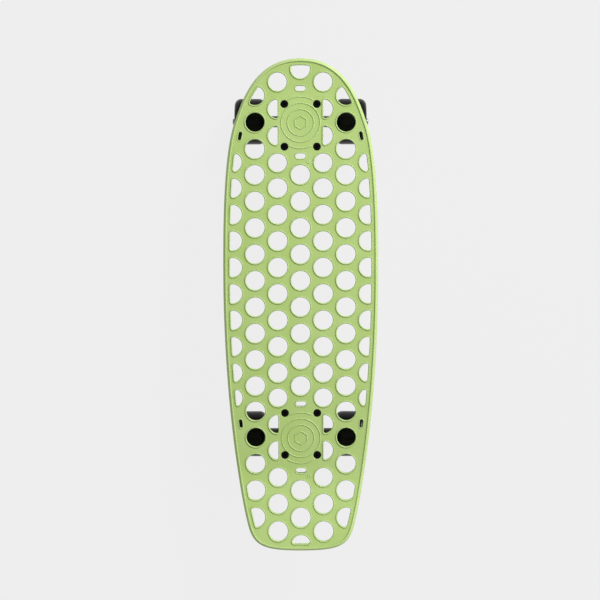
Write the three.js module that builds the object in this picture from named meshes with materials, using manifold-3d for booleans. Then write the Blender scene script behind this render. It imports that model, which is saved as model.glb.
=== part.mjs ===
// Plastic cruiser skateboard: a perforated deck on two steering trucks with four wheels.
// Millimetres. +X is the nose, +Y the rider's left, +Z up. The origin is on the ground,
// below the middle of the deck's length and width.
import * as THREE from "three";
import { mergeVertices } from "three/addons/utils/BufferGeometryUtils.js";
import Module from "manifold-3d";

const wasm = await Module();
wasm.setup();

// ---- Driving dimensions -------------------------------------------------------------

const GAP = 0.3; // clearance between pieces that touch
const AXLE_CLEARANCE = 0.35; // round the axle, in radius
const KINGPIN_CLEARANCE = 0.45; // round the kingpin, in radius
const BEARING_CLEARANCE = 0.15; // between a bearing and its seat
const HEAD_CLEARANCE = 0.8; // round the kingpin's head

// Deck
const DECK_LENGTH = 625;
const DECK_HALF_WIDTH = 99;
const DECK_DEPTH = 12; // top face to the lower edge of the ribs and skirt
const PLATE_THICKNESS = 5; // the perforated plate itself
const SKIRT_THICKNESS = 4.5; // wall round the edge, under the plate
const RIM_INSETS = [1.2, 5]; // raised rim on top, from the outer edge inwards
const RIM_HEIGHT = 0.8;
const TAIL_BEND_X = -204; // where the flat ends and the kicktail's bend starts
const TAIL_ANGLE = 15.6; // degrees
const NOSE_BEND_X = 266;
const NOSE_ANGLE = 5; // degrees
const BEND_RADIUS = 115;
const OUTLINE_STEPS = 8; // straight pieces in each quarter of the outline

// Hole pattern: staggered columns along the deck
const HOLE_RADIUS = 12;
const COLUMN_SPACING = 28.95;
const ROW_PITCH = 33.7;
const END_ROW_SHIFT = 1.1; // rows over and past the trucks sit this much nearer the middle
const HOLE_INSET = 9; // holes stop this far inside the outline
const RIB_THICKNESS = 2.6;
const HOLE_SIDES = 10;

// Truck fastening: the usual small four-bolt pattern
const BOLT_SPACING_X = 53.98;
const BOLT_SPACING_Y = 41.28;
const TRUCK_SPACING = 394; // between the two bolt patterns' centres
const PATTERN_MIDDLE_X = 30.7; // middle of the two trucks, forward of the deck's middle
const ZONE_OFFSET = 4.2; // the solid zone's centre lies this much outside the bolt pattern's
const ZONE_HALF_WIDTH = 29;
const ZONE_HALF_LENGTH = 37;
const PAD_HALF_WIDTH = 31; // solid block under the plate that carries the baseplate
const PAD_HALF_LENGTH = 46;
const SLOT_OFFSET = 42.9;
const SLOT_LENGTH = 13;
const SLOT_WIDTH = 6.5;
const SIDE_SLOT = { x: 183.7, y: 77.1, length: 11, width: 4.2, frontTurn: 11, rearTurn: 6 };

// Deck bolts and their lock nuts
const BOLT_HEAD_RADIUS = 4.85;
const BOLT_HEAD_DEPTH = 2.8;
const BOLT_RADIUS = 2.4;
const BOLT_LENGTH = 25;
const BOLT_SOCKET_RADIUS = 1.85;
const BOLT_SOCKET_DEPTH = 2;
const LOCK_NUT_RADIUS = 5.5; // across corners
const LOCK_NUT_HEIGHT = 5;

// Wheels, bearings and axle
const WHEEL_RADIUS = 29.5;
const WHEEL_WIDTH = 40;
const WHEEL_CORNER = 8.5;
const WHEEL_OFFSET_Y = 65.3;
const WHEEL_CORE_HALF = 12;
const BEARING_RADIUS = 11;
const BEARING_WIDTH = 7;
const BEARING_OFFSET = 8.5; // bearing's middle from the wheel's middle
const AXLE_RADIUS = 4;
const AXLE_LENGTH = 176;
const AXLE_NUT_RADIUS = 7.33;
const AXLE_NUT_HEIGHT = 7.5;

// Trucks, in their own frame: origin on the deck's underside at the bolt pattern's centre,
// +X pointing outwards to the deck's near end, +Z up
const AXLE_X = 6.8;
const AXLE_Z = -48;
const RING_CENTRE = new THREE.Vector3(-14, 0, -37.5); // where the kingpin passes the hanger
const PIVOT_POINT = new THREE.Vector3(27, 0, -13);
const KINGPIN_TILT = 22; // degrees from upright, lower end towards the deck's middle
const KINGPIN_RADIUS = 4.75;
const KINGPIN_HEAD_RADIUS = 7.2;
const KINGPIN_HEAD_HEIGHT = 5.2;
const KINGPIN_NUT_RADIUS = 8.25;
const KINGPIN_NUT_HEIGHT = 6.2;
const KINGPIN_END = -21.7; // along the kingpin from the ring's centre
const RING_RADIUS = 15.5;
const RING_THICKNESS = 7.5;
const RING_BORE = 6.5;
const BOARDSIDE_BUSHING_HEIGHT = 12.4;
const BOARDSIDE_BUSHING_RADIUS = 12;
const ROADSIDE_BUSHING_HEIGHT = 8.6;
const ROADSIDE_BUSHING_RADII = [11.5, 9];
const WASHER_THICKNESS = 1.2;
const WASHER_RADIUS = 12;
const BOSS_RADIUS = 12.5;
const HEAD_SEAT = 30.2; // along the kingpin from the ring's centre
const PLATE_X = [-35, 41];
const BASEPLATE_HALF_WIDTH = 28;
const BASEPLATE_THICKNESS = 5;
const HANGER_HALF_LENGTH = 52.5;
const HANGER_RADIUS = 8.75;
const HANGER_SHOULDER_Y = 17; // the barrel narrows from here
const HANGER_NECK_Y = 28; // to here, and runs straight to its ends
const HANGER_END_RADIUS = 7.4;
const NOSE_RADIUS = 5.2;
const CUP_WALL = 2.5;
const HOUSING_RADIUS = 11.6;
const HOUSING_MOUTH = 39.5; // along the steering axis from the ring's centre
const HOUSING_END = 54;
const CUP_END = 51.5;
const NOSE_TIP = 49.2;

// ---- Derived places -----------------------------------------------------------------

const DECK_TOP_Z = WHEEL_RADIUS - AXLE_Z + DECK_DEPTH;
const DECK_UNDERSIDE_Z = DECK_TOP_Z - DECK_DEPTH;
const KINGPIN_UP = new THREE.Vector3(
  Math.sin(THREE.MathUtils.degToRad(KINGPIN_TILT)),
  0,
  Math.cos(THREE.MathUtils.degToRad(KINGPIN_TILT)),
);
const STEERING_AXIS = PIVOT_POINT.clone().sub(RING_CENTRE).normalize();
const BOSS_SEAT = RING_THICKNESS / 2 + BOARDSIDE_BUSHING_HEIGHT + WASHER_THICKNESS + 3 * GAP;
const CUP_RADIUS = NOSE_RADIUS + GAP + CUP_WALL;

// ---- Materials ----------------------------------------------------------------------

function finish(color, roughness, metalness) {
  return new THREE.MeshStandardMaterial({ color, roughness, metalness });
}

const MATERIALS = {
  deck: finish(0xaecb78, 0.5, 0),
  truck: finish(0x141414, 0.35, 0),
  bolt: finish(0x1c1c1e, 0.4, 0.9),
  steel: finish(0xb4b6b8, 0.3, 0.9),
  wheel: finish(0x151413, 0.55, 0),
  bushing: finish(0x1d1d1d, 0.6, 0),
};

// ---- Geometry helpers ---------------------------------------------------------------

const Z_AXIS_TO_WORLD_Y = new THREE.Matrix4().makeRotationX(Math.PI / 2);

function solidOf(geometry) {
  const bare = geometry.clone();
  bare.deleteAttribute("normal");
  bare.deleteAttribute("uv");
  const merged = mergeVertices(bare, 1e-4);
  return new wasm.Manifold(
    new wasm.Mesh({
      numProp: 3,
      vertProperties: merged.attributes.position.array,
      triVerts: new Uint32Array(merged.index.array),
    }),
  );
}

function geometryOf(solid) {
  const mesh = solid.getMesh();
  const geometry = new THREE.BufferGeometry();
  geometry.setAttribute("position", new THREE.BufferAttribute(mesh.vertProperties, 3));
  geometry.setIndex(new THREE.BufferAttribute(mesh.triVerts, 1));
  geometry.computeVertexNormals();
  return geometry;
}

function piece(name, geometry, material) {
  const mesh = new THREE.Mesh(geometry, material);
  mesh.name = name;
  return mesh;
}

// Upright prism of one or more plan shapes between two heights.
function prism(shapes, low, high) {
  const options = { depth: high - low, bevelEnabled: false, curveSegments: 4 };
  return new THREE.ExtrudeGeometry(shapes, options).translate(0, 0, low);
}

// Prism of a side-view outline, points (x, z), reaching the same distance to each side of y = 0.
function sidePrism(points, halfWidth) {
  const shape = new THREE.Shape(points.map(([x, z]) => new THREE.Vector2(x, z)));
  return new THREE.ExtrudeGeometry(shape, { depth: 2 * halfWidth, bevelEnabled: false })
    .applyMatrix4(Z_AXIS_TO_WORLD_Y)
    .translate(0, halfWidth, 0);
}

// Solid of revolution about +Y from (radius, height) pairs. A ring's profile closes on itself.
function turned(profile, segments) {
  return new THREE.LatheGeometry(
    profile.map(([r, h]) => new THREE.Vector2(r, h)),
    segments,
  );
}

function ring(inner, outer, low, high, segments) {
  return turned(
    [
      [inner, low],
      [outer, low],
      [outer, high],
      [inner, high],
      [inner, low],
    ],
    segments,
  );
}

function rod(radius, low, high, segments) {
  return turned(
    [
      [0, low],
      [radius, low],
      [radius, high],
      [0, high],
    ],
    segments,
  );
}

// The same, standing along a direction from a point.
function placed(geometry, origin, direction) {
  const turn = new THREE.Quaternion().setFromUnitVectors(new THREE.Vector3(0, 1, 0), direction);
  return geometry.applyMatrix4(new THREE.Matrix4().compose(origin, turn, new THREE.Vector3(1, 1, 1)));
}

function alongAxis(origin, direction) {
  const group = new THREE.Group();
  group.position.copy(origin);
  group.quaternion.setFromUnitVectors(new THREE.Vector3(0, 1, 0), direction);
  return group;
}

function polygon(x, y, radius, sides, phase) {
  const points = [];
  for (let i = 0; i < sides; i++) {
    const angle = phase + (2 * Math.PI * i) / sides;
    points.push(new THREE.Vector2(x + radius * Math.cos(angle), y + radius * Math.sin(angle)));
  }
  return new THREE.Shape(points);
}

function rectangle(x, y, halfX, halfY) {
  return new THREE.Shape([
    new THREE.Vector2(x - halfX, y - halfY),
    new THREE.Vector2(x + halfX, y - halfY),
    new THREE.Vector2(x + halfX, y + halfY),
    new THREE.Vector2(x - halfX, y + halfY),
  ]);
}

// Slot with round ends, its long side turned from +X by an angle in radians.
function slot(x, y, length, width, turn) {
  const points = [];
  const straight = (length - width) / 2;
  const steps = 4;
  for (const end of [1, -1]) {
    for (let i = 0; i <= steps; i++) {
      const angle = (end > 0 ? -0.5 : 0.5) * Math.PI + (Math.PI * i) / steps;
      const offset = new THREE.Vector2(Math.cos(angle), Math.sin(angle)).multiplyScalar(width / 2);
      points.push(offset.add(new THREE.Vector2(end * straight, 0)));
    }
  }
  const centre = new THREE.Vector2(0, 0);
  const place = new THREE.Vector2(x, y);
  return new THREE.Shape(points.map((p) => p.rotateAround(centre, turn).add(place)));
}

// ---- Deck ---------------------------------------------------------------------------

const TRUCKS = [
  { end: "front", sign: 1 },
  { end: "rear", sign: -1 },
];
for (const truck of TRUCKS) truck.x = PATTERN_MIDDLE_X + (truck.sign * TRUCK_SPACING) / 2;

// Plan outline: four curves down one side, mirrored on the other, all tangent where they meet.
function outlinePoints() {
  const nose = DECK_LENGTH / 2;
  const tail = -nose;
  const widest = DECK_HALF_WIDTH;
  const left = new THREE.Shape();
  left.moveTo(nose, 0);
  left.bezierCurveTo(nose, 57.7, nose - 52, 73.9, nose - 81, 84);
  left.bezierCurveTo(nose - 122, 98.2, 102, widest, 40, widest);
  left.bezierCurveTo(-105, widest, tail + 80.6, 81.7, tail + 30.6, 67.6);
  left.bezierCurveTo(tail + 5.4, 60.5, tail, 47.7, tail, 0);
  const half = left.getPoints(OUTLINE_STEPS);
  const other = half
    .slice(1, -1)
    .reverse()
    .map((p) => new THREE.Vector2(p.x, -p.y));
  return [...half, ...other];
}

function insetOutline(points, inset) {
  return points.map((p, i) => {
    const before = points[(i + points.length - 1) % points.length];
    const after = points[(i + 1) % points.length];
    const along = after.clone().sub(before).normalize();
    return new THREE.Vector2(p.x - inset * along.y, p.y + inset * along.x);
  });
}

// Height that a bend of the given radius and final angle adds, at a distance past its start.
function bendHeight(distance, angleDegrees) {
  const angle = THREE.MathUtils.degToRad(angleDegrees);
  const arcLength = BEND_RADIUS * Math.sin(angle);
  if (distance <= 0) return 0;
  if (distance <= arcLength) return BEND_RADIUS - Math.sqrt(BEND_RADIUS ** 2 - distance ** 2);
  return BEND_RADIUS * (1 - Math.cos(angle)) + (distance - arcLength) * Math.tan(angle);
}

function topHeight(x) {
  return DECK_TOP_Z + bendHeight(TAIL_BEND_X - x, TAIL_ANGLE) + bendHeight(x - NOSE_BEND_X, NOSE_ANGLE);
}

// Layer of the deck's bent sheet between two depths under the top face.
function bentLayer(upper, lower) {
  const steps = 4;
  const tailArc = BEND_RADIUS * Math.sin(THREE.MathUtils.degToRad(TAIL_ANGLE));
  const noseArc = BEND_RADIUS * Math.sin(THREE.MathUtils.degToRad(NOSE_ANGLE));
  const stations = [-DECK_LENGTH / 2 - 5];
  for (let i = steps; i >= 0; i--) stations.push(TAIL_BEND_X - (tailArc * i) / steps);
  for (let i = 0; i <= 2; i++) stations.push(NOSE_BEND_X + (noseArc * i) / 2);
  stations.push(DECK_LENGTH / 2 + 5);
  const top = stations.map((x) => [x, topHeight(x) - upper]);
  const bottom = stations.map((x) => [x, topHeight(x) - lower]).reverse();
  return solidOf(sidePrism([...top, ...bottom], DECK_HALF_WIDTH + 5));
}

// Centres of the hole pattern. Whole rows lie in even columns and half rows in odd ones.
function holeCentres() {
  const centres = [];
  const add = (column, row) => {
    const shift = Math.abs(row) >= 4.5 ? -Math.sign(row) * END_ROW_SHIFT : 0;
    const x = PATTERN_MIDDLE_X + row * ROW_PITCH + shift;
    for (const side of column === 0 ? [1] : [1, -1]) centres.push([x, side * column * COLUMN_SPACING]);
  };
  for (let row = -4; row <= 4; row++) add(0, row);
  for (const row of [8, -8, -9, -10]) add(0, row);
  for (let row = -9.5; row <= 7.5; row++) add(1, row);
  for (let row = -9; row <= 7; row++) add(2, row);
  for (let row = -4.5; row <= 4.5; row++) add(3, row);
  return centres;
}

function boltPlaces() {
  const places = [];
  for (const truck of TRUCKS) {
    let number = 1;
    for (const sx of [1, -1]) {
      for (const sy of [1, -1]) {
        places.push({
          name: `${truck.end}_deck`,
          number: number++,
          x: truck.x + (sx * BOLT_SPACING_X) / 2,
          y: (sy * BOLT_SPACING_Y) / 2,
        });
      }
    }
  }
  return places;
}

// Profile of a countersunk bolt below the deck's top, grown by a clearance to make its hole.
function boltProfile(clearance, length) {
  const head = BOLT_HEAD_RADIUS + clearance;
  const shank = BOLT_RADIUS + clearance;
  return [
    [0, -length],
    [shank, -length],
    [shank, -BOLT_HEAD_DEPTH],
    [head, 0],
    [0, 0],
  ];
}

function deckGeometry() {
  const outline = outlinePoints();
  const low = DECK_UNDERSIDE_Z - 20;
  const high = DECK_TOP_Z + 60;
  const full = (inset) => solidOf(prism(new THREE.Shape(insetOutline(outline, inset)), low, high));
  const centres = holeCentres();
  const zones = TRUCKS.map((truck) =>
    rectangle(truck.x + truck.sign * ZONE_OFFSET, 0, ZONE_HALF_LENGTH, ZONE_HALF_WIDTH),
  );
  const pads = TRUCKS.map((truck) =>
    rectangle(truck.x + truck.sign * ZONE_OFFSET, 0, PAD_HALF_LENGTH, PAD_HALF_WIDTH),
  );
  const cellRadius = (ROW_PITCH - RIB_THICKNESS) / Math.sqrt(3);
  const cells = centres.map(([x, y]) => polygon(x, y, cellRadius, 6, Math.PI / 6));
  const circles = centres.map(([x, y]) => polygon(x, y, HOLE_RADIUS, HOLE_SIDES, 0));

  const slots = [];
  for (const truck of TRUCKS) {
    const centre = truck.x + truck.sign * ZONE_OFFSET;
    for (const side of [1, -1]) {
      slots.push(slot(centre + side * SLOT_OFFSET, 0, SLOT_LENGTH, SLOT_WIDTH, Math.PI / 2));
      const turn = -side * truck.sign * (truck.sign > 0 ? SIDE_SLOT.frontTurn : SIDE_SLOT.rearTurn);
      slots.push(
        slot(
          PATTERN_MIDDLE_X + truck.sign * SIDE_SLOT.x,
          side * SIDE_SLOT.y,
          SIDE_SLOT.length,
          SIDE_SLOT.width,
          THREE.MathUtils.degToRad(turn),
        ),
      );
    }
  }

  const plan = full(0);
  const pockets = bentLayer(PLATE_THICKNESS, DECK_DEPTH + 10)
    .intersect(solidOf(prism(cells, low, high)))
    .intersect(full(SKIRT_THICKNESS))
    .subtract(solidOf(prism(pads, low, high)));
  const holes = solidOf(prism(circles, low, high))
    .intersect(full(HOLE_INSET))
    .subtract(solidOf(prism(zones, low, high)));
  const rim = bentLayer(-RIM_HEIGHT, 1).intersect(full(RIM_INSETS[0]).subtract(full(RIM_INSETS[1])));

  let deck = bentLayer(0, DECK_DEPTH).intersect(plan).add(rim);
  deck = deck.subtract(pockets).subtract(holes).subtract(solidOf(prism(slots, low, high)));
  for (const place of boltPlaces()) {
    const cutter = turned(boltProfile(GAP, DECK_DEPTH + 5), 12).rotateX(Math.PI / 2);
    deck = deck.subtract(solidOf(cutter.translate(place.x, place.y, DECK_TOP_Z)));
  }
  return geometryOf(deck);
}

// ---- Deck bolts and nuts ------------------------------------------------------------

function boltGeometry() {
  const body = solidOf(turned(boltProfile(0, BOLT_LENGTH), 12));
  const socket = rod(BOLT_SOCKET_RADIUS, -BOLT_SOCKET_DEPTH, 1, 6);
  return geometryOf(body.subtract(solidOf(socket))).rotateX(Math.PI / 2);
}

// Six-sided nut with its axis along +Y and a smooth bore.
function nutGeometry(radius, bore, height) {
  const body = solidOf(rod(radius, 0, height, 6));
  return geometryOf(body.subtract(solidOf(rod(bore, -1, height + 1, 12))));
}

function addFasteners(group) {
  const nutTop = DECK_UNDERSIDE_Z - GAP - BASEPLATE_THICKNESS - GAP;
  for (const place of boltPlaces()) {
    const bolt = piece(`${place.name}_bolt_${place.number}`, boltGeometry(), MATERIALS.bolt);
    bolt.position.set(place.x, place.y, DECK_TOP_Z - 0.1);
    const nutShape = nutGeometry(LOCK_NUT_RADIUS, BOLT_RADIUS + GAP, LOCK_NUT_HEIGHT);
    nutShape.rotateX(Math.PI / 2);
    const nut = piece(`${place.name}_nut_${place.number}`, nutShape, MATERIALS.bolt);
    nut.position.set(place.x, place.y, nutTop - LOCK_NUT_HEIGHT);
    group.add(bolt, nut);
  }
}

// ---- Truck: baseplate, kingpin set, hanger ------------------------------------------

function baseplateGeometry() {
  const top = -GAP;
  const bottom = top - BASEPLATE_THICKNESS;
  const corner = 7;
  const plate = new THREE.Shape();
  const [x0, x1] = PLATE_X;
  const w = BASEPLATE_HALF_WIDTH;
  plate.moveTo(x0 + corner, -w);
  plate.lineTo(x1 - corner, -w);
  plate.quadraticCurveTo(x1, -w, x1, -w + corner);
  plate.lineTo(x1, w - corner);
  plate.quadraticCurveTo(x1, w, x1 - corner, w);
  plate.lineTo(x0 + corner, w);
  plate.quadraticCurveTo(x0, w, x0, w - corner);
  plate.lineTo(x0, -w + corner);
  plate.quadraticCurveTo(x0, -w, x0 + corner, -w);

  const boss = placed(rod(BOSS_RADIUS, BOSS_SEAT, HEAD_SEAT + 8, 16), RING_CENTRE, KINGPIN_UP);
  const shell = rod(HOUSING_RADIUS, HOUSING_MOUTH, HOUSING_END, 16);
  const housing = placed(shell, RING_CENTRE, STEERING_AXIS);
  const gusset = sidePrism(
    [
      [-20, bottom + 1],
      [-12, -14],
      [8, -14],
      [16, -11],
      [30, -14],
      [38, bottom + 1],
    ],
    8,
  );
  const below = prism(rectangle(0, 0, 80, 60), -70, top);
  const recess = rod(KINGPIN_HEAD_RADIUS + HEAD_CLEARANCE, HEAD_SEAT, 60, 16);
  const bore = rod(KINGPIN_RADIUS + KINGPIN_CLEARANCE, 0, 60, 12);
  const socket = rod(CUP_RADIUS + GAP, 0, CUP_END + GAP, 16);

  let solid = solidOf(prism(plate, bottom, top));
  for (const part of [boss, housing, gusset]) solid = solid.add(solidOf(part));
  solid = solid
    .intersect(solidOf(below))
    .subtract(solidOf(placed(recess, RING_CENTRE, KINGPIN_UP)))
    .subtract(solidOf(placed(bore, RING_CENTRE, KINGPIN_UP)))
    .subtract(solidOf(placed(socket, RING_CENTRE, STEERING_AXIS)));
  for (const sx of [1, -1]) {
    for (const sy of [1, -1]) {
      const x = (sx * BOLT_SPACING_X) / 2;
      const y = (sy * BOLT_SPACING_Y) / 2;
      const hole = polygon(x, y, BOLT_RADIUS + GAP, 12, 0);
      solid = solid.subtract(solidOf(prism(hole, bottom - 1, top + 1)));
    }
  }
  return geometryOf(solid);
}

function hangerGeometry() {
  const half = RING_THICKNESS / 2;
  const down = new THREE.Vector3(KINGPIN_UP.z, 0, -KINGPIN_UP.x); // across the ring, towards the axle
  const at = (across, up) => {
    const p = RING_CENTRE.clone().addScaledVector(down, across).addScaledVector(KINGPIN_UP, up);
    return [p.x, p.z];
  };
  const barrel = turned(
    [
      [0, -HANGER_HALF_LENGTH],
      [HANGER_END_RADIUS, -HANGER_HALF_LENGTH],
      [HANGER_END_RADIUS, -HANGER_NECK_Y],
      [HANGER_RADIUS, -HANGER_SHOULDER_Y],
      [HANGER_RADIUS, HANGER_SHOULDER_Y],
      [HANGER_END_RADIUS, HANGER_NECK_Y],
      [HANGER_END_RADIUS, HANGER_HALF_LENGTH],
      [0, HANGER_HALF_LENGTH],
    ],
    16,
  ).translate(AXLE_X, 0, AXLE_Z);
  const yoke = placed(rod(RING_RADIUS, -half, half, 24), RING_CENTRE, KINGPIN_UP);
  const bridge = sidePrism(
    [
      at(5, half),
      at(RING_RADIUS, half),
      [AXLE_X, AXLE_Z + HANGER_RADIUS],
      [AXLE_X, AXLE_Z - HANGER_RADIUS + 0.2],
      at(RING_RADIUS, -half),
      at(5, -half),
    ],
    14,
  );
  const arm = sidePrism(
    [
      [3, -39],
      [12.5, -22.5],
      [16, -19.5],
      [21, -22.5],
      [15, -45],
      [8, -48],
    ],
    6,
  );
  const nose = turned(
    [
      [0, 33],
      [NOSE_RADIUS, 33],
      [NOSE_RADIUS, NOSE_TIP - 3.5],
      [NOSE_RADIUS * 0.8, NOSE_TIP - 1.2],
      [0, NOSE_TIP],
    ],
    16,
  );
  const ringBore = placed(rod(RING_BORE, -half - 1, half + 1, 16), RING_CENTRE, KINGPIN_UP);
  const boreHalf = HANGER_HALF_LENGTH + 1;
  const axleBore = rod(AXLE_RADIUS + AXLE_CLEARANCE, -boreHalf, boreHalf, 12);
  axleBore.translate(AXLE_X, 0, AXLE_Z);
  const solid = solidOf(barrel)
    .add(solidOf(yoke))
    .add(solidOf(bridge))
    .add(solidOf(arm))
    .add(solidOf(placed(nose, RING_CENTRE, STEERING_AXIS)))
    .subtract(solidOf(ringBore))
    .subtract(solidOf(axleBore));
  return geometryOf(solid);
}

// Pieces stacked on the kingpin, at their distances along it from the ring's centre.
function kingpinSet(end) {
  const stack = alongAxis(RING_CENTRE, KINGPIN_UP);
  const bore = KINGPIN_RADIUS + KINGPIN_CLEARANCE;
  const ringFace = RING_THICKNESS / 2 + GAP;
  const [wide, narrow] = ROADSIDE_BUSHING_RADII;

  const shaft = turned(
    [
      [0, KINGPIN_END],
      [KINGPIN_RADIUS, KINGPIN_END],
      [KINGPIN_RADIUS, HEAD_SEAT + GAP],
      [KINGPIN_HEAD_RADIUS, HEAD_SEAT + GAP],
      [KINGPIN_HEAD_RADIUS, HEAD_SEAT + GAP + KINGPIN_HEAD_HEIGHT],
      [0, HEAD_SEAT + GAP + KINGPIN_HEAD_HEIGHT],
    ],
    16,
  );
  stack.add(piece(`${end}_kingpin`, shaft, MATERIALS.steel));

  const upperEnd = ringFace + BOARDSIDE_BUSHING_HEIGHT;
  const upper = ring(bore, BOARDSIDE_BUSHING_RADIUS, ringFace, upperEnd, 16);
  stack.add(piece(`${end}_boardside_bushing`, upper, MATERIALS.bushing));
  const upperWasher = upperEnd + GAP;
  const boardWasher = ring(bore, WASHER_RADIUS, upperWasher, upperWasher + WASHER_THICKNESS, 16);
  stack.add(piece(`${end}_boardside_washer`, boardWasher, MATERIALS.steel));

  const lower = turned(
    [
      [bore, -ringFace - ROADSIDE_BUSHING_HEIGHT],
      [narrow, -ringFace - ROADSIDE_BUSHING_HEIGHT],
      [wide, -ringFace],
      [bore, -ringFace],
      [bore, -ringFace - ROADSIDE_BUSHING_HEIGHT],
    ],
    16,
  );
  stack.add(piece(`${end}_roadside_bushing`, lower, MATERIALS.bushing));
  const lowerWasher = -ringFace - ROADSIDE_BUSHING_HEIGHT - GAP;
  const roadWasher = ring(bore, narrow + 0.5, lowerWasher - WASHER_THICKNESS, lowerWasher, 16);
  stack.add(piece(`${end}_roadside_washer`, roadWasher, MATERIALS.steel));

  const nut = piece(
    `${end}_kingpin_nut`,
    nutGeometry(KINGPIN_NUT_RADIUS, bore, KINGPIN_NUT_HEIGHT),
    MATERIALS.steel,
  );
  nut.position.y = lowerWasher - WASHER_THICKNESS - GAP - KINGPIN_NUT_HEIGHT;
  stack.add(nut);
  return stack;
}

function pivotCup(end) {
  const axis = alongAxis(RING_CENTRE, STEERING_AXIS);
  const cup = turned(
    [
      [NOSE_RADIUS + GAP, HOUSING_MOUTH],
      [CUP_RADIUS, HOUSING_MOUTH],
      [CUP_RADIUS, CUP_END],
      [0, CUP_END],
      [0, NOSE_TIP + GAP],
      [NOSE_RADIUS + GAP, NOSE_TIP + GAP],
      [NOSE_RADIUS + GAP, HOUSING_MOUTH],
    ],
    16,
  );
  axis.add(piece(`${end}_pivot_cup`, cup, MATERIALS.bushing));
  return axis;
}

// ---- Wheels and what turns in them --------------------------------------------------

function wheelGeometry() {
  const half = WHEEL_WIDTH / 2;
  const seat = BEARING_RADIUS + BEARING_CLEARANCE;
  const shoulder = BEARING_OFFSET - BEARING_WIDTH / 2 - BEARING_CLEARANCE;
  const side = [
    [8, shoulder],
    [seat, shoulder],
    [seat, WHEEL_CORE_HALF],
    [15, WHEEL_CORE_HALF],
    [18.5, half],
  ];
  const steps = 3;
  for (let i = 0; i <= steps; i++) {
    const angle = (Math.PI / 2) * (1 - i / steps);
    side.push([
      WHEEL_RADIUS - WHEEL_CORNER + WHEEL_CORNER * Math.cos(angle),
      half - WHEEL_CORNER + WHEEL_CORNER * Math.sin(angle),
    ]);
  }
  const mirrored = side.map(([r, h]) => [r, -h]);
  const profile = [...mirrored, ...side.reverse()];
  return turned([...profile, profile[0]], 20);
}

function addWheel(truckGroup, end, localSide, name) {
  const station = new THREE.Group();
  station.position.set(AXLE_X, localSide * WHEEL_OFFSET_Y, AXLE_Z);
  if (localSide < 0) station.rotation.z = Math.PI;
  const width = BEARING_WIDTH - GAP;
  const bearingBore = AXLE_RADIUS + AXLE_CLEARANCE;
  const outside = BEARING_RADIUS - BEARING_CLEARANCE;
  const bearing = () => ring(bearingBore, outside, -width / 2, width / 2, 16);
  const inner = piece(`${name}_inner_bearing`, bearing(), MATERIALS.steel);
  inner.position.y = -BEARING_OFFSET;
  const outer = piece(`${name}_outer_bearing`, bearing(), MATERIALS.steel);
  outer.position.y = BEARING_OFFSET;
  const spacerHalf = BEARING_OFFSET - BEARING_WIDTH / 2 - GAP;
  const spacer = piece(
    `${name}_bearing_spacer`,
    ring(bearingBore, bearingBore + 1, -spacerHalf, spacerHalf, 12),
    MATERIALS.steel,
  );
  const nut = piece(
    `${name}_axle_nut`,
    nutGeometry(AXLE_NUT_RADIUS, bearingBore, AXLE_NUT_HEIGHT),
    MATERIALS.bolt,
  );
  nut.position.y = WHEEL_CORE_HALF + 1.1;
  station.add(piece(`${name}_wheel`, wheelGeometry(), MATERIALS.wheel), inner, outer, spacer, nut);
  truckGroup.add(station);
}

function truck({ end, sign, x }) {
  const group = new THREE.Group();
  group.position.set(x, 0, DECK_UNDERSIDE_Z);
  if (sign < 0) group.rotation.z = Math.PI;
  group.add(piece(`${end}_baseplate`, baseplateGeometry(), MATERIALS.truck));
  group.add(piece(`${end}_hanger`, hangerGeometry(), MATERIALS.truck));
  group.add(kingpinSet(end), pivotCup(end));
  const axleShape = rod(AXLE_RADIUS, -AXLE_LENGTH / 2, AXLE_LENGTH / 2, 16);
  const axle = piece(`${end}_axle`, axleShape, MATERIALS.steel);
  axle.position.set(AXLE_X, 0, AXLE_Z);
  group.add(axle);
  for (const localSide of [1, -1]) {
    const side = localSide * sign > 0 ? "left" : "right";
    addWheel(group, end, localSide, `${end}_${side}`);
  }
  return group;
}

// ---- Assembly -----------------------------------------------------------------------

const skateboard = new THREE.Group();
skateboard.add(piece("deck", deckGeometry(), MATERIALS.deck));
addFasteners(skateboard);
for (const place of TRUCKS) skateboard.add(truck(place));

export default skateboard;
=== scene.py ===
# Plastic cruiser skateboard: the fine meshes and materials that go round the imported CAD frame.
import math

import bmesh
import bpy
import numpy as np
from mathutils import Matrix, Vector
from mathutils.geometry import delaunay_2d_cdt


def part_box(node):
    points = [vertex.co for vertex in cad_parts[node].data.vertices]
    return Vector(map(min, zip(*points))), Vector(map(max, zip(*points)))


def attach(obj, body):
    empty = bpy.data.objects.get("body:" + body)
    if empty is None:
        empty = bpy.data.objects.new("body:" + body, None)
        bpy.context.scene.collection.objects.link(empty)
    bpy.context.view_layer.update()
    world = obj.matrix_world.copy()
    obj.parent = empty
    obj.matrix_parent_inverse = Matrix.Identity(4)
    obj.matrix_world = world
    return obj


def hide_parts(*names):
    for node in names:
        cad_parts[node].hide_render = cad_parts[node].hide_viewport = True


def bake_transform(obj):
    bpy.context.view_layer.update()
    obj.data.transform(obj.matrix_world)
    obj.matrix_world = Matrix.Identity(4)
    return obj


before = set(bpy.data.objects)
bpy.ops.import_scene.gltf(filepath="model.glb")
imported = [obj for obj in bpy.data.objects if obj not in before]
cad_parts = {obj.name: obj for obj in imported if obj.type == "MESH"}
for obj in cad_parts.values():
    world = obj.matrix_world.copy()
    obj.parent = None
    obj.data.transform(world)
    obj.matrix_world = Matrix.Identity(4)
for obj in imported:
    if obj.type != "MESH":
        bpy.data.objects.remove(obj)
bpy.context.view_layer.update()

MM = 0.001
MERGE_DISTANCE = 0.002
CAST_VOXEL = 0.75
CAST_SMOOTHING = 6
CAST_SHARP_ANGLE = 40.0
SHARP_ANGLE = 35.0
ENDS = (("front", 1), ("rear", -1))
SIDES = (("left", 1), ("right", -1))


def centre(node):
    low, high = (Vector(corner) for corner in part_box(node))
    return (low + high) / 2


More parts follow.
